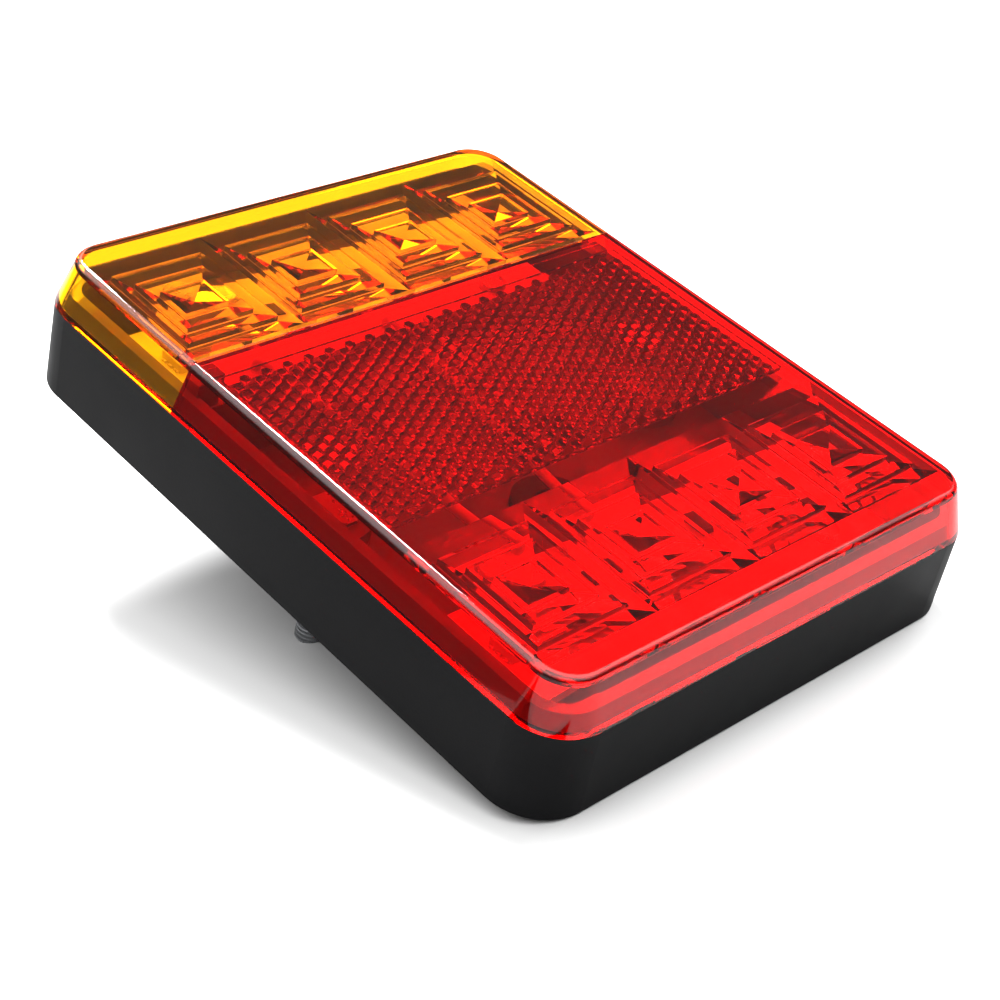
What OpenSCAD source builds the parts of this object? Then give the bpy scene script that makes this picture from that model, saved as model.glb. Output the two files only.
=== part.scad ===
// Trailer tail light: a black tray with an amber indicator lens above a red tail and stop lens.
// Origin at the centre of the flat mounting face, +Z up, +X to the right of someone facing the
// lens, which looks along -Y. The studs leave the back along +Y.

/* [Lamp] */
// Width across the mounting face
lamp_w = 99; // [96:0.5:104]
// Height of the mounting face
lamp_h = 125; // [122:0.5:132]
// Depth from the mounting face to the front of the lens
lamp_d = 23.4; // [22.5:0.1:26]
// Radius of the four corners at the mounting face
corner_r = 9.5; // [9:0.1:11]

/* [Base housing] */
// Height of the black side wall
base_d = 15; // [14.5:0.1:15.5]
// How far each side leans in between the mounting face and the rim
base_draft = 0.45; // [0.2:0.05:0.8]
// Thickness of the side wall, lip included
base_wall = 3.8; // [3.6:0.1:4.2]
// Thickness of the floor
floor_t = 3; // [2.6:0.1:3.2]
// Height of the lip that stands inside the lens
lip_h = 2.5; // [2:0.1:3]
// Gap between the lip and the lens
lip_gap = 0.1; // [0.05:0.05:0.2]

/* [Lenses] */
// Thickness of the lens's face
lens_t = 2.2; // [2:0.1:2.4]
// Thickness of the lens's sloping skirt
skirt_t = 1.6; // [1.5:0.1:1.7]
// How far each side of the lens leans in between rim and face
lens_draft = 3; // [2.6:0.1:3.4]
// Height of the joint between amber and red, above the middle of the lamp
seam_y = 24; // [23.8:0.1:24.4]

/* [Fresnel cells] */
// Width of one cell
cell_w = 22.4; // [22:0.1:22.4]
// Height of one cell
cell_h = 28; // [27:0.1:28]
// Height of the amber row's middle above the middle of the lamp
amber_row_y = 40.2; // [40:0.1:40.2]
// Height of the red row's middle, which lies below the middle of the lamp
red_row_y = -39.5; // [-40.2:0.1:-39]
// Rings round each central pyramid
rings = 3; // [2:1:4]
// Width of one ring at the cell's left and right
ring_w = 2.3; // [2:0.1:2.4]
// Width of one ring above and below the pyramid
ring_h = 3.45; // [3:0.05:3.5]
// Depth of each ring's tooth
tooth_d = 2.4; // [1.5:0.1:3.2]
// Depth of the central pyramid
pyramid_d = 2.4; // [1.5:0.1:3.2]

/* [Reflex reflector] */
// Width of the prism field
reflex_w = 84.8; // [82:0.1:85]
// Height of the prism field
reflex_h = 38.2; // [36:0.1:38.4]
// Height of the prisms
prism_d = 2; // [1.6:0.1:2.2]
// Thickness of the plate that carries the prisms
reflex_plate_t = 0.9; // [0.8:0.1:1.2]
// Width of the plate's plain edge round the prism field
reflex_edge = 1.2; // [1:0.1:1.5]

/* [Circuit boards] */
// Width of each board
board_w = 82; // [80:1:84]
// Height of each board
board_h = 20.5; // [20:0.5:22]
// Thickness of each board
board_t = 1.6; // [1:0.1:1.6]
// Height of the posts under the boards, above the mounting face
post_top = 8; // [7.5:0.1:8.5]
// Distance of each board's two screws from its middle, along the board
screw_x = 28.5; // [27.5:0.5:29]
// Distance of the screws from the middle across the board, one above and one below
screw_y = 7; // [6.5:0.5:7.5]
// Width and height of an LED's package
led_size = 5; // [3:0.5:6]

/* [Mounting] */
// Distance between the two studs
stud_pitch = 70; // [60:1:70]
// Thread radius of a stud
stud_r = 2.5; // [2:0.5:2.5]
// Length of the thread behind the mounting face
stud_l = 18; // [12:1:30]
// Distance of the cable hole below the middle of the lamp
cable_y = 14; // [12:1:16]
// Radius of the hole in the grommet
cable_r = 3.1; // [2.5:0.1:3.3]

/* [Hidden] */

$fn = 48;
// cells in each row, with one LED behind each
cells = 4;
eps = 0.01;
far = 200;

// the four corner centres are the same at every depth, so a slope changes only the radius
corner_x = lamp_w / 2 - corner_r;
corner_y = lamp_h / 2 - corner_r;
rim_r = corner_r - base_draft;
lens_h = lamp_d - base_d;
// the skirt slopes, so it is a little thicker when measured level
skirt_level_t = skirt_t * sqrt(1 + pow(lens_draft / lens_h, 2));
lens_back_z = lamp_d - lens_t;

// a groove in the rim under the lens's foot holds a bead of clear sealant
seal_w = 1.1;
seal_d = 0.8;
seal_inset = 0.6;

prism_z = lens_back_z - reflex_plate_t - prism_d;

// the posts at the ends of the seam locate the lenses
seam_post = [4.2, 3.2, 19.6];
seam_post_x = 42.7;
rib_t = 2;
rib_top = base_d;

led_h = 1.6;
led_window_r = 0.38 * led_size;
led_window_d = 0.4;
led_tab = [led_size + 0.8, 0.9, 0.3];
led_tab_pitch = 0.32 * led_size;
board_top = post_top + board_t;

resistor_size = [1.6, 3.2, 0.6];
diode_size = [2.6, 4.3, 2.2];

post_r = 3.2;
screw_r = 1.25;
screw_l = 7;
screw_head_r = 2.4;
screw_head_h = 1.5;

// the two link wires run from the red board to the amber board: x at the red end and the amber end
link_ends_x = [[-22, -26], [-7, 2]];
wire_r = 0.9;
wire_rise = 2.4;
wire_bend_r = 1.6;
wire_z = board_top + wire_rise;
wire_inset = 2;
wire_hole_r = wire_r + 0.4;

head_af = 8;
head_h = 3.5;
stud_shoulder_r = stud_r + 0.3;
stud_hole_r = stud_shoulder_r + 0.1;
stud_seal_t = 1;
cage_r = 7;
cage_h = 4;

grommet_r = 5;
grommet_flange_r = 7;
grommet_recess = 1;
grommet_inner_t = 1.5;

// radius of the lens's outside and of the base's outside at a height above the mounting face
function lens_r(z) = rim_r - lens_draft * (z - base_d) / lens_h;
function base_r(z) = corner_r - base_draft * z / base_d;
function cell_x(i) = (i - (cells + 1) / 2) * cell_w;
// the height of a link wire's two ends, each just inside the board's edge nearest the other board
red_link_y = red_row_y + board_h / 2 - wire_inset;
amber_link_y = amber_row_y - board_h / 2 + wire_inset;
function link_x(ends, y) =
    ends[0] + (ends[1] - ends[0]) * (y - red_link_y) / (amber_link_y - red_link_y);

// the modules are drawn lying on the mounting face, with the lens up; this stands them on end
module upright() {
    rotate([90, 0, 0]) children();
}

// a block with rounded corners whose corner radius goes from r0 at z0 to r1 at z1
module tapered_block(z0, z1, r0, r1) {
    h = z1 - z0;
    translate([0, 0, z0]) {
        rotate([90, 0, 0]) linear_extrude(2 * corner_y, center = true) slope(corner_x, r0, r1, h);
        rotate([90, 0, 90]) linear_extrude(2 * corner_x, center = true) slope(corner_y, r0, r1, h);
        for (x = [-corner_x, corner_x], y = [-corner_y, corner_y])
            translate([x, y, 0]) cylinder(h = h, r1 = r0, r2 = r1);
    }
}

// the outline of tapered_block seen along one of its sides
module slope(half, r0, r1, h) {
    polygon([[-half - r0, 0], [half + r0, 0], [half + r1, h], [-half - r1, h]]);
}

module box_between(low, high) {
    translate(low) cube(high - low);
}

// a pyramid cut off at height h: half-sizes a at the bottom and b at the top
module frustum(a, b, h) {
    intersection() {
        rotate([90, 0, 0]) linear_extrude(2 * a[1], center = true)
            polygon([[-a[0], 0], [a[0], 0], [b[0], h], [-b[0], h]]);
        rotate([90, 0, 90]) linear_extrude(2 * a[0], center = true)
            polygon([[-a[1], 0], [a[1], 0], [b[1], h], [-b[1], h]]);
    }
}

module at_screws() {
    for (side = [-1, 1]) translate([side * screw_x, -side * screw_y, 0]) children();
}

module at_studs() {
    for (x = [-stud_pitch, stud_pitch] / 2) translate([x, 0, 0]) children();
}

module at_both_rows() {
    for (y = [red_row_y, amber_row_y]) translate([0, y, 0]) children();
}

// ---- housing ----

module base_housing() {
    color("#1c1d1f") upright() {
        difference() {
            union() {
                tray();
                seam_rib();
            }
            for (ends = link_ends_x)
                translate([link_x(ends, seam_y - rib_t / 2), seam_y, wire_z]) rotate([90, 0, 0])
                    cylinder(h = 3 * rib_t, r = wire_hole_r, center = true);
            at_studs() translate([0, 0, -eps]) cylinder(h = floor_t + 1, r = stud_hole_r);
            translate([0, -cable_y, -eps]) cylinder(h = floor_t + 1, r = grommet_r);
            translate([0, -cable_y, -eps]) cylinder(h = grommet_recess + eps, r = grommet_flange_r);
        }
        at_both_rows() at_screws() board_post();
        at_studs() stud_cage();
    }
}

module tray() {
    lip_top = base_d + lip_h;
    difference() {
        union() {
            tapered_block(0, base_d, corner_r, rim_r);
            tapered_block(base_d - eps, lip_top, lens_r(base_d) - skirt_level_t - lip_gap,
                          lens_r(lip_top) - skirt_level_t - lip_gap);
        }
        tapered_block(floor_t, base_d, base_r(floor_t) - base_wall, rim_r - base_wall);
        tapered_block(base_d - eps, lip_top + eps, rim_r - base_wall,
                      lens_r(lip_top) - base_wall);
        seal_ring();
    }
}

// the rib keeps the amber and the red light apart, and its end posts locate the lenses
module seam_rib() {
    half = corner_x + rim_r - base_wall + 0.5;
    box_between([-half, seam_y - rib_t, floor_t - eps], [half, seam_y, rib_top]);
    for (side = [-1, 1])
        translate([side * seam_post_x - seam_post[0] / 2, seam_y - seam_post[1] / 2, floor_t - eps])
            cube([seam_post[0], seam_post[1], seam_post[2] - floor_t]);
}

module board_post() {
    translate([0, 0, floor_t - eps]) difference() {
        cylinder(h = post_top - floor_t + eps, r = post_r);
        translate([0, 0, 1]) cylinder(h = post_top, r = screw_r);
    }
}

// a hexagonal pocket holds each stud's head, so that its nut can be tightened from behind
module stud_cage() {
    translate([0, 0, floor_t - eps]) difference() {
        cylinder(h = cage_h, r = cage_r);
        translate([0, 0, -1]) cylinder(h = cage_h + 2, r = (head_af / 2 + 0.1) / cos(30), $fn = 6);
    }
}

module seal_ring() {
    r = rim_r - seal_inset;
    z = base_d - seal_d;
    difference() {
        tapered_block(z, base_d, r, r);
        tapered_block(z - 1, base_d + 1, r - seal_w, r - seal_w);
    }
}

module lens_seal() {
    color("#dcd8d0") upright() seal_ring();
}

// ---- lenses ----

module lens_shell() {
    difference() {
        tapered_block(base_d, lamp_d, rim_r, lens_r(lamp_d));
        tapered_block(base_d - 1, lens_back_z, lens_r(base_d - 1) - skirt_level_t,
                      lens_r(lens_back_z) - skirt_level_t);
    }
}

// a row of cells: each is a pyramid of lens material cut into rings, so that it lies flat
module cell_row() {
    for (i = [1:cells])
        translate([cell_x(i), 0, lens_back_z + eps]) mirror([0, 0, 1]) fresnel_cell();
}

module fresnel_cell() {
    for (i = [0:rings - 1]) difference() {
        frustum(ring_half(i), ring_half(i + 1), tooth_d);
        translate([0, 0, -eps]) linear_extrude(tooth_d + 1) square(2 * ring_half(i + 1), center = true);
    }
    frustum(ring_half(rings), [eps, eps], pyramid_d);
}

function ring_half(i) = [cell_w / 2 - i * ring_w, cell_h / 2 - i * ring_h];

// one lens: the shell between two heights of the lamp, with its row of cells
module lens(low_y, high_y, row_y) {
    upright() {
        intersection() {
            lens_shell();
            box_between([-far, low_y, 0], [far, high_y, far]);
        }
        translate([0, row_y, 0]) cell_row();
    }
}

module amber_lens() {
    color("#ff9a00") lens(seam_y, far, amber_row_y);
}

module red_lens() {
    color("#e00808") lens(-far, seam_y, red_row_y);
}

// ---- reflex reflector ----

// a plate against the back of the red lens, with a field of prisms on its own back
module reflex_reflector() {
    color("#c01018") upright() {
        translate([0, 0, lens_back_z - reflex_plate_t / 2])
            cube([reflex_w + 2 * reflex_edge, reflex_h + 2 * reflex_edge, reflex_plate_t], center = true);
        translate([0, 0, prism_z + prism_d / 2])
            cube([reflex_w, reflex_h, prism_d + eps], center = true);
    }
}

// ---- lights ----

module board(row_y) {
    upright() translate([0, row_y, 0]) difference() {
        translate([0, 0, post_top + board_t / 2]) cube([board_w, board_h, board_t], center = true);
        at_screws() cylinder(h = far, r = screw_r + 0.2);
    }
}

// a square surface-mount LED with a round window in its top and three solder tabs a side
module led(row_y, i) {
    upright() translate([cell_x(i), row_y, board_top]) {
        difference() {
            translate([0, 0, led_h / 2]) cube([led_size, led_size, led_h], center = true);
            translate([0, 0, led_h - led_window_d]) cylinder(h = led_h, r = led_window_r);
        }
        for (y = [-led_tab_pitch, 0, led_tab_pitch])
            translate([0, y, led_tab[2] / 2]) cube(led_tab, center = true);
    }
}

module amber_led(i) {
    color("#f4efe0") led(amber_row_y, i);
}

module red_led(i) {
    color("#f4eeea") led(red_row_y, i);
}

// blocks on a board's top face: their size, and the list of their places from its middle
module on_board(row_y, size, places) {
    upright() for (p = places)
        translate([p[0], row_y + p[1], board_top + size[2] / 2]) cube(size, center = true);
}

module amber_board() {
    color("#f0f0ec") board(amber_row_y);
}

module red_board() {
    color("#f0f0ec") board(red_row_y);
}

module amber_resistors() {
    color("#2a2a2c") on_board(amber_row_y, resistor_size, [[-cell_w, 0], [cell_w, 0]]);
}

module red_resistors() {
    color("#2a2a2c") on_board(red_row_y, resistor_size,
                              [for (x = [-cell_w, cell_w], y = [-4, 2]) [x, y]]);
}

module amber_diode() {
    color("#1a1a1a") on_board(amber_row_y, diode_size, [[-1.5, 0]]);
}

module red_diode() {
    color("#1a1a1a") on_board(red_row_y, diode_size, [[1.5, 2]]);
}

module board_screws() {
    color("#b9bcc2") upright() at_both_rows() at_screws() translate([0, 0, board_top]) {
        cylinder(h = screw_head_h, r = screw_head_r);
        translate([0, 0, -screw_l]) cylinder(h = screw_l + eps, r = screw_r - 0.05);
    }
}

// one end of a wire: it rises from the board at the origin and bends over towards +x
module wire_end() {
    cylinder(h = wire_rise - wire_bend_r, r = wire_r);
    translate([wire_bend_r, 0, wire_rise - wire_bend_r]) rotate([90, 0, 0]) rotate([0, 0, 90])
        rotate_extrude(angle = 90) translate([wire_bend_r, 0]) circle(r = wire_r);
}

// each wire rises from the red board, crosses to the amber board and drops on to it
module link_wires() {
    color("#e8e6e0") upright() for (ends = link_ends_x) {
        run = [ends[1] - ends[0], amber_link_y - red_link_y];
        translate([ends[0], red_link_y, board_top]) rotate([0, 0, atan2(run[1], run[0])]) {
            wire_end();
            translate([norm(run), 0, 0]) mirror([1, 0, 0]) wire_end();
            translate([wire_bend_r, 0, wire_rise]) rotate([0, 90, 0])
                cylinder(h = norm(run) - 2 * wire_bend_r, r = wire_r);
        }
    }
}

// ---- mounting ----

module cable_grommet() {
    color("#17181a") upright() translate([0, -cable_y, 0]) difference() {
        union() {
            cylinder(h = grommet_recess, r = grommet_flange_r);
            cylinder(h = floor_t + grommet_inner_t, r = grommet_r);
            translate([0, 0, floor_t]) cylinder(h = grommet_inner_t, r = grommet_flange_r);
        }
        translate([0, 0, -1]) cylinder(h = far, r = cable_r);
    }
}

module mounting_studs() {
    head_z = floor_t + stud_seal_t;
    color("#c9ccd2") upright() at_studs() {
        translate([0, 0, head_z]) cylinder(h = head_h, r = head_af / 2 / cos(30), $fn = 6);
        cylinder(h = head_z + eps, r = stud_shoulder_r);
        translate([0, 0, -stud_l]) cylinder(h = stud_l + eps, r = stud_r);
    }
}

module stud_seals() {
    color("#2b2d30") upright() at_studs() translate([0, 0, floor_t]) difference() {
        cylinder(h = stud_seal_t, r = head_af / 2);
        translate([0, 0, -1]) cylinder(h = stud_seal_t + 2, r = stud_shoulder_r);
    }
}

base_housing();
amber_lens();
red_lens();
lens_seal();
reflex_reflector();
amber_board();
red_board();
for (i = [1:cells]) {
    amber_led(i);
    red_led(i);
}
amber_resistors();
red_resistors();
amber_diode();
red_diode();
board_screws();
link_wires();
cable_grommet();
mounting_studs();
stud_seals();
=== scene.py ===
"""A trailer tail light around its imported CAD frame: lenses, prisms, electronics, studs and a pale studio."""

import math

import bmesh
import bpy
from mathutils import Matrix, Vector


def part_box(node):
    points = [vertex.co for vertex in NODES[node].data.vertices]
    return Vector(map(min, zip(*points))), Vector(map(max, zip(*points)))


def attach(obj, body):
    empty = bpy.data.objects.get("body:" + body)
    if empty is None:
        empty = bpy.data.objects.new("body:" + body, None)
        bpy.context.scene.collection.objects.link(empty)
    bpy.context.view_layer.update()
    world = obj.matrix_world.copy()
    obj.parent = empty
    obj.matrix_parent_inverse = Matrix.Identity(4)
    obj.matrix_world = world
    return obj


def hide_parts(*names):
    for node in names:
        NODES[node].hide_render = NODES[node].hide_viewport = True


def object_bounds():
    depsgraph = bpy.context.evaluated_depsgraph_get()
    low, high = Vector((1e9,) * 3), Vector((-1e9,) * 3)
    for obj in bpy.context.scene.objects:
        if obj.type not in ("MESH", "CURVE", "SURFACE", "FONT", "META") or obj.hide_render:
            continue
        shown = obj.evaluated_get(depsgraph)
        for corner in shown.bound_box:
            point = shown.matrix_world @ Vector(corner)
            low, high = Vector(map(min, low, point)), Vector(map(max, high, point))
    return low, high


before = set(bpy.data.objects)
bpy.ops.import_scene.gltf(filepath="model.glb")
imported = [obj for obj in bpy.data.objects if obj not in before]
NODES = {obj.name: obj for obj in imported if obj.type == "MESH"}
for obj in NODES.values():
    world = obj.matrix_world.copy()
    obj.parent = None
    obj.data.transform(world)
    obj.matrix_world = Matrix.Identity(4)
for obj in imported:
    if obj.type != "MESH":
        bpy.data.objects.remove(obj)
cad_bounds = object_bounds()
MM = 0.001
BODY = "root"

# ---- sizes in millimetres, in the lying frame: x right, y up the lamp, z out of the lens ----


def extent(node):
    """(lowest, highest) corner of a CAD node in the lying frame, in millimetres."""
    low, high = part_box(node)
    return Vector((low.x, low.z, -high.y)) / MM, Vector((high.x, high.z, -low.y)) / MM


RED_LOW, RED_HIGH = extent("red_lens")
AMBER_LOW, AMBER_HIGH = extent("amber_lens")
REFLEX_HIGH = extent("reflex_reflector")[1]

# the lenses: two trays that meet at the seam; LENS_DRAFT is how far each side leans in up to the face
SEAM_Y = AMBER_LOW.y
RIM_Z = RED_LOW.z
FACE_Z = RED_HIGH.z
RIM_RADIUS = 9.05
CORNER_X = RED_HIGH.x - RIM_RADIUS
CORNER_Y = AMBER_HIGH.y - RIM_RADIUS
LENS_DRAFT = 3.0
FACE_T = 2.2
SKIRT_T = 1.6 * math.hypot(1, LENS_DRAFT / (FACE_Z - RIM_Z))
PLATE_Z = FACE_Z - FACE_T
EDGE_R = 0.9
SEAM_EDGE = 0.25
SEAM_GAP = 0.01
BOND_GAP = 0.03
CORNER_STEPS = 16
FILLET_STEPS = 6

# the cells: rings of teeth round a pyramid, on the lens's inner face; TOOTH_EDGE bevels each crest
CELLS = 4
CELL_W = 22.4
CELL_H = 28.0
ROW_Y = {"amber": 40.2, "red": -39.5}
RINGS = 3
RING_W = 2.3
RING_H = 3.45
TOOTH_D = 2.4
TOOTH_EDGE = 0.12
TOOTH_ROOT = 0.02
PYRAMID_D = 2.4

# the reflector: hexagons across their flats, the web between them, and the straight start of a prism
REFLEX_PLATE_T = 0.9
HEX_W = 2.415
HEX_WEB = 0.75
SHANK = 0.05
HEX_COLUMNS = 41
HEX_ROWS = 16

# the studs and the tray
THREAD_PITCH = 0.8
THREAD_START = 0.2
THREAD_SHADE = 0.1
BASE_EDGE_R = 0.4
TRAY_WALL = 0.6
TRAY_BACK = 1.0


def upright(x, y, z):
    """A point of the lying frame, in metres in the row's frame."""
    return Vector((x, -z, y)) * MM


def lens_radius(z):
    """Radius of the lens's outside corners at height z."""
    return RIM_RADIUS - LENS_DRAFT * (z - RIM_Z) / (FACE_Z - RIM_Z)


# ---- mesh helpers ----


def piece_from(bm, name, body=BODY, smooth_angle=32):
    """A finished piece from a bmesh in the row's frame, with smooth curves and crisp edges."""
    bmesh.ops.recalc_face_normals(bm, faces=bm.faces)
    for face in bm.faces:
        face.smooth = True
    for edge in bm.edges:
        if len(edge.link_faces) == 2:
            edge.smooth = edge.calc_face_angle(0) < math.radians(smooth_angle)
    mesh = bpy.data.meshes.new(name)
    bm.to_mesh(mesh)
    bm.free()
    piece = bpy.data.objects.new(name, mesh)
    bpy.context.scene.collection.objects.link(piece)
    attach(piece, body)
    return piece


def weighted_normals(piece):
    """Flat faces stay flat up to their rounded edges."""
    modifier = piece.modifiers.new("flat_faces", "WEIGHTED_NORMAL")
    modifier.keep_sharp = True
    modifier.weight = 100


def soften_edges(piece, radius_mm):
    """Rounds a piece's sharp edges."""
    modifier = piece.modifiers.new("soft_edges", "BEVEL")
    modifier.width = radius_mm * MM
    modifier.segments = 3
    modifier.limit_method = "ANGLE"
    modifier.angle_limit = math.radians(50)
    modifier.harden_normals = True


def ring_of(bm, points):
    """Vertices at points of the lying frame."""
    return [bm.verts.new(upright(*point)) for point in points]


def bridge(bm, first, second, closed=True):
    """Quads between two rows of vertices with the same count; closed joins their ends too."""
    count = len(first)
    for i in range(count if closed else count - 1):
        j = (i + 1) % count
        bm.faces.new((first[i], first[j], second[j], second[i]))


def fill_open_edges(bm):
    """Flat triangles over the area between the mesh's open edges."""
    open_edges = [edge for edge in bm.edges if len(edge.link_faces) < 2]
    bmesh.ops.triangle_fill(bm, edges=open_edges, use_beauty=True, use_dissolve=False)


def arc(centre_x, centre_y, radius, start, end, steps=CORNER_STEPS):
    """Points of an arc, angles in degrees."""
    angles = [math.radians(start + (end - start) * i / steps) for i in range(steps + 1)]
    return [(centre_x + radius * math.cos(a), centre_y + radius * math.sin(a)) for a in angles]


# ---- lenses ----


def lens_outline(side, z, radius, seam_inset=SEAM_GAP):
    """A lens's outline at height z, from one end of the seam to the other; side 1 is the amber lens."""
    seam = side * SEAM_Y + seam_inset
    points = [(CORNER_X + radius, seam)]
    points += arc(CORNER_X, CORNER_Y, radius, 0, 90)
    points += arc(-CORNER_X, CORNER_Y, radius, 90, 180)
    points += [(-CORNER_X - radius, seam)]
    return [(x, side * y, z) for x, y in points]


def rounded_edge(side):
    """Outlines that follow the rounded edge of the lens's face, from the face down to its skirt."""
    outlines = []
    for step in range(FILLET_STEPS + 1):
        angle = math.pi / 2 * step / FILLET_STEPS
        inset = 1 - math.sin(angle)
        z = FACE_Z - EDGE_R * (1 - math.cos(angle))
        outlines.append(lens_outline(side, z, lens_radius(z) - EDGE_R * inset, SEAM_GAP + SEAM_EDGE * inset))
    return outlines


def skirt(side):
    """Outlines down the outside of the skirt to its foot and up its inside to the back of the face."""
    foot = RIM_Z + BOND_GAP
    return [
        lens_outline(side, foot, lens_radius(foot)),
        lens_outline(side, foot, lens_radius(foot) - SKIRT_T),
        lens_outline(side, PLATE_Z, lens_radius(PLATE_Z) - SKIRT_T),
    ]


def cell_profile():
    """(half width, half height, depth) of the nested rectangles of one cell, from its edge to its middle."""
    profile = [(CELL_W / 2, CELL_H / 2, 0)]
    for ring in range(1, RINGS + 1):
        width, height = CELL_W / 2 - ring * RING_W, CELL_H / 2 - ring * RING_H
        profile.append((width + TOOTH_EDGE, height + TOOTH_EDGE, TOOTH_D - TOOTH_EDGE))
        profile.append((width, height, TOOTH_D))
        profile.append((width - TOOTH_EDGE, height - TOOTH_EDGE, TOOTH_D - TOOTH_EDGE))
        profile.append((width - TOOTH_EDGE, height - TOOTH_EDGE, TOOTH_ROOT))
    return profile


def add_cell(bm, centre_x, centre_y):
    """One cell on the lens's inner face: rings of prism teeth round a pyramid that points inwards."""
    rings = []
    for width, height, depth in cell_profile():
        corners = ((-width, -height), (width, -height), (width, height), (-width, height))
        rings.append(ring_of(bm, [(centre_x + x, centre_y + y, PLATE_Z - depth) for x, y in corners]))
    for first, second in zip(rings, rings[1:]):
        bridge(bm, first, second)
    tip = bm.verts.new(upright(centre_x, centre_y, PLATE_Z - PYRAMID_D))
    for i in range(4):
        bm.faces.new((rings[-1][i], rings[-1][(i + 1) % 4], tip))


def make_lens(name, side, row_y):
    """A tray-shaped lens, cut off at the seam, with its row of cells."""
    bm = bmesh.new()
    edge = [ring_of(bm, outline) for outline in rounded_edge(side)]
    bm.faces.new(edge[0])
    for first, second in zip(edge, edge[1:]):
        bridge(bm, first, second)
    wall = [edge[-1]] + [ring_of(bm, outline) for outline in skirt(side)]
    for first, second in zip(wall, wall[1:]):
        bridge(bm, first, second, closed=False)
    bm.faces.new([row[0] for row in wall] + [row[-1] for row in reversed(wall)])
    for cell in range(CELLS):
        add_cell(bm, (cell - (CELLS - 1) / 2) * CELL_W, row_y)
    bmesh.ops.remove_doubles(bm, verts=bm.verts, dist=0.001 * MM)
    fill_open_edges(bm)
    piece = piece_from(bm, name)
    weighted_normals(piece)
    return piece


# ---- reflex reflector ----


def add_prisms(bm, web_z):
    """Hexagonal cube corners whose tips point inwards, each on a short shank that rises from the web."""
    radius = (HEX_W - HEX_WEB) / math.sqrt(3)
    step = (HEX_W - HEX_WEB) / math.sqrt(6)
    pitch = HEX_W * math.sqrt(3) / 2
    for column in range(HEX_COLUMNS):
        for row in range(HEX_ROWS):
            centre_x = (column - (HEX_COLUMNS - 1) / 2) * pitch
            centre_y = (row - (HEX_ROWS - 0.5) / 2 + (column % 2) / 2) * HEX_W
            angles = [math.radians(60 * k) for k in range(6)]
            corners = [(centre_x + radius * math.cos(a), centre_y + radius * math.sin(a)) for a in angles]
            mouth = ring_of(bm, [(x, y, web_z) for x, y in corners])
            depths = [SHANK + step * (1 - k % 2) for k in range(6)]
            rim = ring_of(bm, [(x, y, web_z - depth) for (x, y), depth in zip(corners, depths)])
            bridge(bm, mouth, rim)
            tip = bm.verts.new(upright(centre_x, centre_y, web_z - SHANK - 2 * step))
            for k in (0, 2, 4):
                bm.faces.new((tip, rim[k], rim[(k + 1) % 6], rim[(k + 2) % 6]))


def make_reflector():
    """The reflector: a flat plate with a field of corner-cube prisms on its back."""
    front_z = REFLEX_HIGH.z - BOND_GAP
    web_z = REFLEX_HIGH.z - REFLEX_PLATE_T
    bm = bmesh.new()
    add_prisms(bm, web_z)
    half_w, half_h = REFLEX_HIGH.x, REFLEX_HIGH.y
    corners = ((-half_w, -half_h), (half_w, -half_h), (half_w, half_h), (-half_w, half_h))
    back = ring_of(bm, [(x, y, web_z) for x, y in corners])
    front = ring_of(bm, [(x, y, front_z) for x, y in corners])
    bridge(bm, back, front)
    bm.faces.new(front)
    prism_faces = set(bm.faces)
    fill_open_edges(bm)
    for face in bm.faces:
        face.material_index = 0 if face in prism_faces else 1
    return piece_from(bm, "reflex_prisms", smooth_angle=5)


# ---- materials ----


def new_material(name):
    """(material, its nodes, its links, its Principled shader)."""
    material = bpy.data.materials.new(name)
    material.use_nodes = True
    tree = material.node_tree
    return material, tree.nodes, tree.links, tree.nodes["Principled BSDF"]


def noise(nodes, links, scale, detail=3.0, roughness=0.5):
    """A noise texture in object coordinates, scale in ripples per metre."""
    coordinates = nodes.new("ShaderNodeTexCoord")
    texture = nodes.new("ShaderNodeTexNoise")
    texture.inputs["Scale"].default_value = scale
    texture.inputs["Detail"].default_value = detail
    texture.inputs["Roughness"].default_value = roughness
    links.new(coordinates.outputs["Object"], texture.inputs["Vector"])
    return texture.outputs["Fac"]


# most of a noise texture's values lie between these
NOISE_LOW = 0.3
NOISE_HIGH = 0.7


def mapped(nodes, links, value, low, high):
    """A noise texture's value, brought from its usual range to the range low to high."""
    range_node = nodes.new("ShaderNodeMapRange")
    range_node.inputs["From Min"].default_value = NOISE_LOW
    range_node.inputs["From Max"].default_value = NOISE_HIGH
    range_node.inputs["To Min"].default_value = low
    range_node.inputs["To Max"].default_value = high
    links.new(value, range_node.inputs["Value"])
    return range_node.outputs["Result"]


# the two kinds of maths node, and the distance between a wave texture's bands at scale 1
NUMBER = "ShaderNodeMath"
VECTOR = "ShaderNodeVectorMath"
WAVE_BAND = math.tau / 20


def maths(nodes, links, kind, operation, values, result="Value"):
    """The result of a maths node whose inputs are plain values or other nodes' results."""
    node = nodes.new(kind)
    node.operation = operation
    for socket, value in zip(node.inputs, values):
        if isinstance(value, bpy.types.NodeSocket):
            links.new(value, socket)
        else:
            socket.default_value = value
    return node.outputs[result]


def add_bump(nodes, links, shader, value, height_mm, strength=1.0):
    """Raises the surface by up to height_mm where value is high."""
    bump = nodes.new("ShaderNodeBump")
    bump.inputs["Strength"].default_value = strength
    bump.inputs["Distance"].default_value = height_mm * MM
    links.new(value, bump.inputs["Height"])
    links.new(bump.outputs["Normal"], shader.inputs["Normal"])


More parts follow.
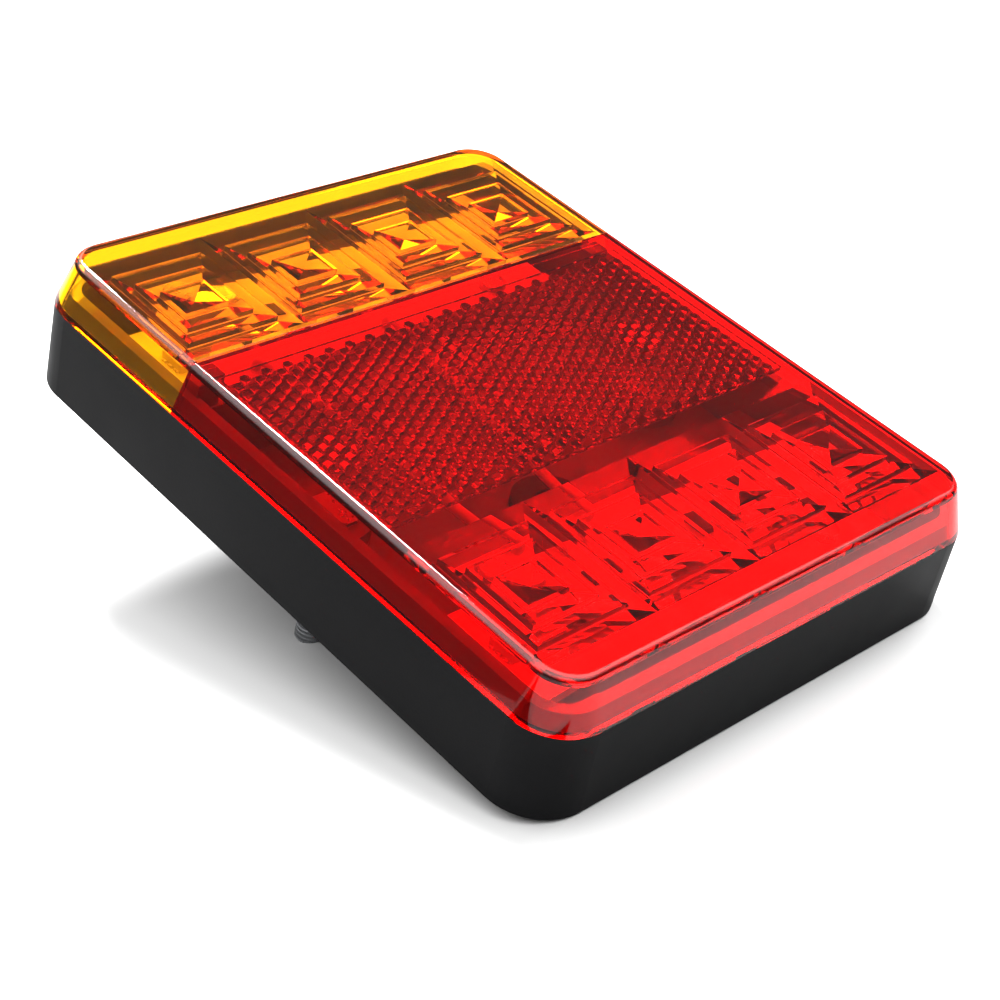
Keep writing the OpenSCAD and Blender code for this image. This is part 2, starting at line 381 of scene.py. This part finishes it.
def acrylic(name, tint, absorbed, density):
    """Clear moulded acrylic: tinted through its thickness, slightly hazy, with flow ripples on its skin."""
    material, nodes, links, shader = new_material(name)
    shader.inputs["Base Color"].default_value = (*tint, 1)
    shader.inputs["Transmission Weight"].default_value = 0.996
    shader.inputs["IOR"].default_value = 1.49
    add_bump(nodes, links, shader, noise(nodes, links, scale=60, detail=1), height_mm=0.01)
    haze = mapped(nodes, links, noise(nodes, links, scale=400), low=0.0, high=0.03)
    links.new(haze, shader.inputs["Roughness"])
    volume = nodes.new("ShaderNodeVolumeAbsorption")
    volume.inputs["Color"].default_value = (*absorbed, 1)
    volume.inputs["Density"].default_value = density
    links.new(volume.outputs["Volume"], nodes["Material Output"].inputs["Volume"])
    return material


def moulded_plastic(name, dark, light, grain_mm=0.012, gloss=(0.32, 0.5)):
    """Opaque moulded plastic with a fine eroded grain."""
    material, nodes, links, shader = new_material(name)
    mix = nodes.new("ShaderNodeMix")
    mix.data_type = "RGBA"
    mix.inputs["A"].default_value = (*dark, 1)
    mix.inputs["B"].default_value = (*light, 1)
    cloud = noise(nodes, links, scale=90, detail=5)
    links.new(mapped(nodes, links, cloud, low=0, high=1), mix.inputs["Factor"])
    links.new(mix.outputs["Result"], shader.inputs["Base Color"])
    links.new(mapped(nodes, links, cloud, *gloss), shader.inputs["Roughness"])
    shader.inputs["IOR"].default_value = 1.54
    add_bump(nodes, links, shader, noise(nodes, links, scale=2600, detail=4), height_mm=grain_mm)
    return material


def smooth_and_lit_inside(nodes, links):
    """1 inside the tray's wall and in front of its back, where the plastic is smooth and painted pale as
    light, 0 outside, from the place on the object.
    """
    place = nodes.new("ShaderNodeTexCoord").outputs["Object"]
    size = maths(nodes, links, VECTOR, "ABSOLUTE", [place], "Vector")
    beyond = maths(nodes, links, VECTOR, "SUBTRACT", [size, (CORNER_X * MM, 1, CORNER_Y * MM)], "Vector")
    beyond = maths(nodes, links, VECTOR, "MAXIMUM", [beyond, (0, 0, 0)], "Vector")
    reach = maths(nodes, links, VECTOR, "LENGTH", [beyond])
    within = maths(nodes, links, NUMBER, "LESS_THAN", [reach, (RIM_RADIUS - TRAY_WALL) * MM])
    axes = nodes.new("ShaderNodeSeparateXYZ")
    links.new(place, axes.inputs["Vector"])
    in_front = maths(nodes, links, NUMBER, "LESS_THAN", [axes.outputs["Y"], -TRAY_BACK * MM])
    return maths(nodes, links, NUMBER, "MINIMUM", [within, in_front])


def tray_plastic(name):
    """Black plastic: grained and dull outside, smooth inside the tray, where a pale grey is painted light
    standing in for light that reaches the tray's floor.
    """
    dark, light = (0.0025, 0.0025, 0.003), (0.005, 0.005, 0.0055)
    material = moulded_plastic(name, dark, light, grain_mm=0.012, gloss=(0.42, 0.52))
    nodes, links = material.node_tree.nodes, material.node_tree.links
    outer = nodes["Principled BSDF"]
    outer.inputs["Specular IOR Level"].default_value = 0.08
    inner = nodes.new("ShaderNodeBsdfPrincipled")
    # painted light: this pale grey stands in for light falling on the black plastic inside the tray
    inner.inputs["Base Color"].default_value = (0.17, 0.17, 0.17, 1)
    inner.inputs["IOR"].default_value = 1.54
    gloss = mapped(nodes, links, noise(nodes, links, scale=300), low=0.12, high=0.2)
    links.new(gloss, inner.inputs["Roughness"])
    switch = nodes.new("ShaderNodeMixShader")
    links.new(smooth_and_lit_inside(nodes, links), switch.inputs["Fac"])
    links.new(outer.outputs["BSDF"], switch.inputs[1])
    links.new(inner.outputs["BSDF"], switch.inputs[2])
    links.new(switch.outputs["Shader"], nodes["Material Output"].inputs["Surface"])
    return material


def rubber(name, colour, bloom=1.8):
    """Matt rubber, paler by the factor bloom in places."""
    light = tuple(channel * bloom for channel in colour)
    return moulded_plastic(name, colour, light, grain_mm=0.02, gloss=(0.6, 0.8))


def painted_glow_web(name):
    """Frosted acrylic between the prisms, with a painted glow: its emission stands in for light on the web."""
    dark, light = (0.88, 0.012, 0.016), (0.95, 0.02, 0.025)
    material = moulded_plastic(name, dark, light, grain_mm=0.01, gloss=(0.3, 0.5))
    shader = material.node_tree.nodes["Principled BSDF"]
    # painted glow: this emission stands in for light; the web is no lamp
    shader.inputs["Emission Color"].default_value = (1, 0.01, 0.03, 1)
    shader.inputs["Emission Strength"].default_value = 0.8
    return material


def threaded(name, colour):
    """Plated steel that carries a thread on everything behind the mounting face."""
    material = metal(name, colour)
    nodes, links = material.node_tree.nodes, material.node_tree.links
    place = nodes.new("ShaderNodeTexCoord").outputs["Object"]
    turns = nodes.new("ShaderNodeTexWave")
    turns.bands_direction = "Y"
    turns.inputs["Scale"].default_value = WAVE_BAND / (THREAD_PITCH * MM)
    links.new(place, turns.inputs["Vector"])
    axes = nodes.new("ShaderNodeSeparateXYZ")
    links.new(place, axes.inputs["Vector"])
    behind = maths(nodes, links, NUMBER, "GREATER_THAN", [axes.outputs["Y"], THREAD_START * MM])
    height = maths(nodes, links, NUMBER, "MULTIPLY", [turns.outputs["Fac"], behind])
    add_bump(nodes, links, nodes["Principled BSDF"], height, THREAD_SHADE)
    return material


def metal(name, colour, rough=(0.22, 0.4)):
    """Plated steel with fine drawing marks."""
    material, nodes, links, shader = new_material(name)
    shader.inputs["Base Color"].default_value = (*colour, 1)
    shader.inputs["Metallic"].default_value = 1.0
    marks = noise(nodes, links, scale=700, detail=4)
    links.new(mapped(nodes, links, marks, *rough), shader.inputs["Roughness"])
    add_bump(nodes, links, shader, noise(nodes, links, scale=1500, detail=2), height_mm=0.01)
    return material


def paint(piece, material):
    """Gives a piece one material."""
    piece.data.materials.clear()
    piece.data.materials.append(material)


# ---- the lamp ----

RED_TINT = (1, 0.2, 0.2)
RED_ABSORBED = (0.987, 0.0, 0.02)

amber_acrylic = acrylic("amber_acrylic", (1, 0.88, 0.3), (0.995, 0.912, 0.0), density=2000)
red_acrylic = acrylic("red_acrylic", RED_TINT, RED_ABSORBED, density=1500)
reflector_acrylic = acrylic("reflector_acrylic", RED_TINT, RED_ABSORBED, density=1000)
prism_web_painted_glow = painted_glow_web("prism_web_painted_glow")
black_plastic = tray_plastic("black_plastic")
board_mask = moulded_plastic("board_mask", (0.72, 0.73, 0.70), (0.82, 0.82, 0.80), 0.004, gloss=(0.3, 0.4))
component_black = moulded_plastic("component_black", (0.02, 0.02, 0.02), (0.04, 0.04, 0.04))
wire_insulation = moulded_plastic("wire_insulation", (0.72, 0.71, 0.68), (0.8, 0.79, 0.76), 0.002)
sealant = moulded_plastic("clear_sealant", (0.76, 0.74, 0.7), (0.84, 0.82, 0.78), 0.004, gloss=(0.25, 0.4))
seal_rubber = rubber("seal_rubber", (0.02, 0.02, 0.022))
grommet_rubber = rubber("grommet_rubber", (0.012, 0.012, 0.013))
zinc = threaded("zinc_plate", (0.42, 0.43, 0.45))
screw_steel = metal("screw_steel", (0.5, 0.5, 0.52))
led_package = moulded_plastic("led_package", (0.8, 0.78, 0.7), (0.86, 0.84, 0.78), 0.002, gloss=(0.25, 0.35))

amber_lens = make_lens("amber_lens_moulding", 1, ROW_Y["amber"])
paint(amber_lens, amber_acrylic)
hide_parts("amber_lens")
red_lens = make_lens("red_lens_moulding", -1, ROW_Y["red"])
paint(red_lens, red_acrylic)
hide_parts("red_lens")
reflector = make_reflector()
paint(reflector, reflector_acrylic)
reflector.data.materials.append(prism_web_painted_glow)
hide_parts("reflex_reflector")

NODE_MATERIALS = {
    "base_housing": black_plastic,
    "lens_seal": sealant,
    "stud_seals": seal_rubber,
    "cable_grommet": grommet_rubber,
    "mounting_studs": zinc,
    "board_screws": screw_steel,
    "link_wires": wire_insulation,
}
for row in ROW_Y:
    NODE_MATERIALS[row + "_board"] = board_mask
    NODE_MATERIALS[row + "_resistors"] = component_black
    NODE_MATERIALS[row + "_diode"] = component_black
    for cell in range(1, CELLS + 1):
        NODE_MATERIALS[f"{row}_led_{cell}"] = led_package
for node, material in NODE_MATERIALS.items():
    paint(NODES[node], material)
soften_edges(NODES["base_housing"], BASE_EDGE_R)

# ---- stage, light and camera, set out from the floor that the lamp leans on ----

STUD_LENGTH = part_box("mounting_studs")[1].y
FOOT_Z = cad_bounds[0][2]
LEAN = math.atan2(STUD_LENGTH, -FOOT_Z)
FLOOR_UP = Vector((0, -math.cos(LEAN), math.sin(LEAN)))
FLOOR_RIGHT = Vector((1, 0, 0))
FLOOR_AHEAD = FLOOR_UP.cross(FLOOR_RIGHT)
FLOOR_GAP = 0.0003
FLOOR_CENTRE = Vector((0, 0, FOOT_Z)) - FLOOR_UP * FLOOR_GAP
FLOOR_CORNERS = ((-3, -3), (3, -3), (3, 3), (-3, 3))
FLAG_CORNERS = ((-0.06, -0.05), (-0.109, 0.122), (-0.7, 1.2), (-1.2, 0.2))
FLAG_LIFT = 0.0001

LAMP_CENTRE = Vector((0, -FACE_Z / 2, 0)) * MM
CAMERA_TARGET = Vector((-13.94, -11.7, -14.53)) * MM
CAMERA_BEARING = 226.0
CAMERA_ELEVATION = 25.5
CAMERA_DISTANCE = 0.3136
CAMERA_LENS = 72.9


def around(target, bearing, elevation, distance):
    """A point round the target: bearing from the lamp's right, elevation above the floor."""
    bearing, elevation = math.radians(bearing), math.radians(elevation)
    level = FLOOR_RIGHT * math.cos(bearing) + FLOOR_AHEAD * math.sin(bearing)
    return target + (level * math.cos(elevation) + FLOOR_UP * math.sin(elevation)) * distance


def aim(thing, target):
    """Turns a camera or light towards the target, upright on the floor."""
    forward = (target - thing.location).normalized()
    right = forward.cross(FLOOR_UP).normalized()
    up = right.cross(forward)
    thing.rotation_euler = Matrix((right, up, -forward)).transposed().to_euler()


def floor_material(name, shade, mirrored):
    """Paper that only shows from above; mirrored is its shade where something shiny reflects it."""
    material, nodes, links, shader = new_material(name)
    tone = nodes.new("ShaderNodeMix")
    tone.data_type = "RGBA"
    tone.inputs["A"].default_value = (shade, shade, shade, 1)
    tone.inputs["B"].default_value = (mirrored, mirrored, mirrored, 1)
    path = nodes.new("ShaderNodeLightPath").outputs
    kinds = [path["Is Glossy Ray"], path["Is Transmission Ray"]]
    links.new(maths(nodes, links, NUMBER, "SUBTRACT", kinds), tone.inputs["Factor"])
    links.new(tone.outputs["Result"], shader.inputs["Base Color"])
    shader.inputs["Roughness"].default_value = 0.9
    shader.inputs["Specular IOR Level"].default_value = 0.0
    geometry = nodes.new("ShaderNodeNewGeometry")
    clear = nodes.new("ShaderNodeBsdfTransparent")
    switch = nodes.new("ShaderNodeMixShader")
    links.new(geometry.outputs["Backfacing"], switch.inputs["Fac"])
    links.new(shader.outputs["BSDF"], switch.inputs[1])
    links.new(clear.outputs["BSDF"], switch.inputs[2])
    links.new(switch.outputs["Shader"], nodes["Material Output"].inputs["Surface"])
    return material


def make_card(name, material, corners, lift=0.0):
    """A flat card on the floor; its corners are (right, ahead) in metres from the lamp."""
    bm = bmesh.new()
    centre = FLOOR_CENTRE + FLOOR_UP * lift
    bm.faces.new([bm.verts.new(centre + FLOOR_RIGHT * x + FLOOR_AHEAD * y) for x, y in corners])
    mesh = bpy.data.meshes.new(name)
    bm.to_mesh(mesh)
    bm.free()
    card = bpy.data.objects.new(name, mesh)
    bpy.context.scene.collection.objects.link(card)
    mesh.materials.append(material)
    return card


def make_floor():
    """The pale floor, and a black flag on it that only the lamp's left side mirrors."""
    make_card("floor", floor_material("paper", shade=0.46, mirrored=0.24), FLOOR_CORNERS)
    black_cloth = floor_material("black_cloth", shade=0.002, mirrored=0.002)
    flag = make_card("flag", black_cloth, FLAG_CORNERS, lift=FLAG_LIFT)
    flag.visible_camera = flag.visible_diffuse = flag.visible_shadow = False


def add_softbox(name, bearing, elevation, size, power, distance=1.5, mirrored=True):
    """A square light aimed at the lamp, in metres and watts; mirrored is whether reflections show it."""
    light = bpy.data.lights.new(name, "AREA")
    light.shape = "RECTANGLE"
    light.size = light.size_y = size
    light.energy = power
    holder = bpy.data.objects.new(name, light)
    bpy.context.scene.collection.objects.link(holder)
    holder.visible_glossy = mirrored
    holder.location = around(LAMP_CENTRE, bearing, elevation, distance)
    aim(holder, LAMP_CENTRE)


def toward(nodes, links, direction, narrow, wide):
    """1 for sky within the narrow angle of a direction, falling to 0 at the wide angle, in degrees."""
    sky = nodes.new("ShaderNodeTexCoord").outputs["Generated"]
    fade = nodes.new("ShaderNodeMapRange")
    fade.interpolation_type = "SMOOTHSTEP"
    fade.inputs["From Min"].default_value = math.cos(math.radians(wide))
    fade.inputs["From Max"].default_value = math.cos(math.radians(narrow))
    links.new(maths(nodes, links, VECTOR, "DOT_PRODUCT", [sky, direction]), fade.inputs["Value"])
    return fade.outputs["Result"]


def make_world(dim, bright, dark_bearing, dark_elevation):
    """A white studio lit by a dome of soft light, with a dark patch where the flat face would mirror it."""
    world = bpy.data.worlds.new("studio")
    bpy.context.scene.world = world
    world.use_nodes = True
    nodes, links = world.node_tree.nodes, world.node_tree.links
    dark = around(Vector(), dark_bearing, dark_elevation, 1)
    overhead = toward(nodes, links, FLOOR_UP, narrow=40, wide=72)
    patch = toward(nodes, links, dark, narrow=14, wide=27)
    lit = maths(nodes, links, NUMBER, "SUBTRACT", [overhead, patch])
    strength = nodes.new("ShaderNodeMapRange")
    strength.inputs["To Min"].default_value = dim
    strength.inputs["To Max"].default_value = bright
    links.new(lit, strength.inputs["Value"])
    background = nodes["Background"]
    background.inputs["Color"].default_value = (1, 1, 1, 1)
    links.new(strength.outputs["Result"], background.inputs["Strength"])
    seen = nodes.new("ShaderNodeBackground")
    seen.inputs["Strength"].default_value = 1.0
    path = nodes.new("ShaderNodeLightPath")
    switch = nodes.new("ShaderNodeMixShader")
    links.new(path.outputs["Is Camera Ray"], switch.inputs["Fac"])
    links.new(background.outputs["Background"], switch.inputs[1])
    links.new(seen.outputs["Background"], switch.inputs[2])
    links.new(switch.outputs["Shader"], nodes["World Output"].inputs["Surface"])


def make_camera():
    """The camera, at the photograph's viewing angle."""
    camera_data = bpy.data.cameras.new("camera")
    camera_data.lens = CAMERA_LENS
    camera = bpy.data.objects.new("camera", camera_data)
    bpy.context.scene.collection.objects.link(camera)
    camera.location = around(CAMERA_TARGET, CAMERA_BEARING, CAMERA_ELEVATION, CAMERA_DISTANCE)
    aim(camera, CAMERA_TARGET)
    return camera


make_floor()
make_world(dim=0.1, bright=4.0, dark_bearing=27, dark_elevation=45)
add_softbox("key", bearing=63, elevation=57, size=0.5, power=90)
add_softbox("front", bearing=0, elevation=38, size=0.8, power=30, mirrored=False)

scene = bpy.context.scene
scene.camera = make_camera()
scene.view_settings.view_transform = "Standard"
scene.cycles.max_bounces = 20
scene.cycles.transmission_bounces = 20
scene.cycles.glossy_bounces = 8
scene.cycles.transparent_max_bounces = 8
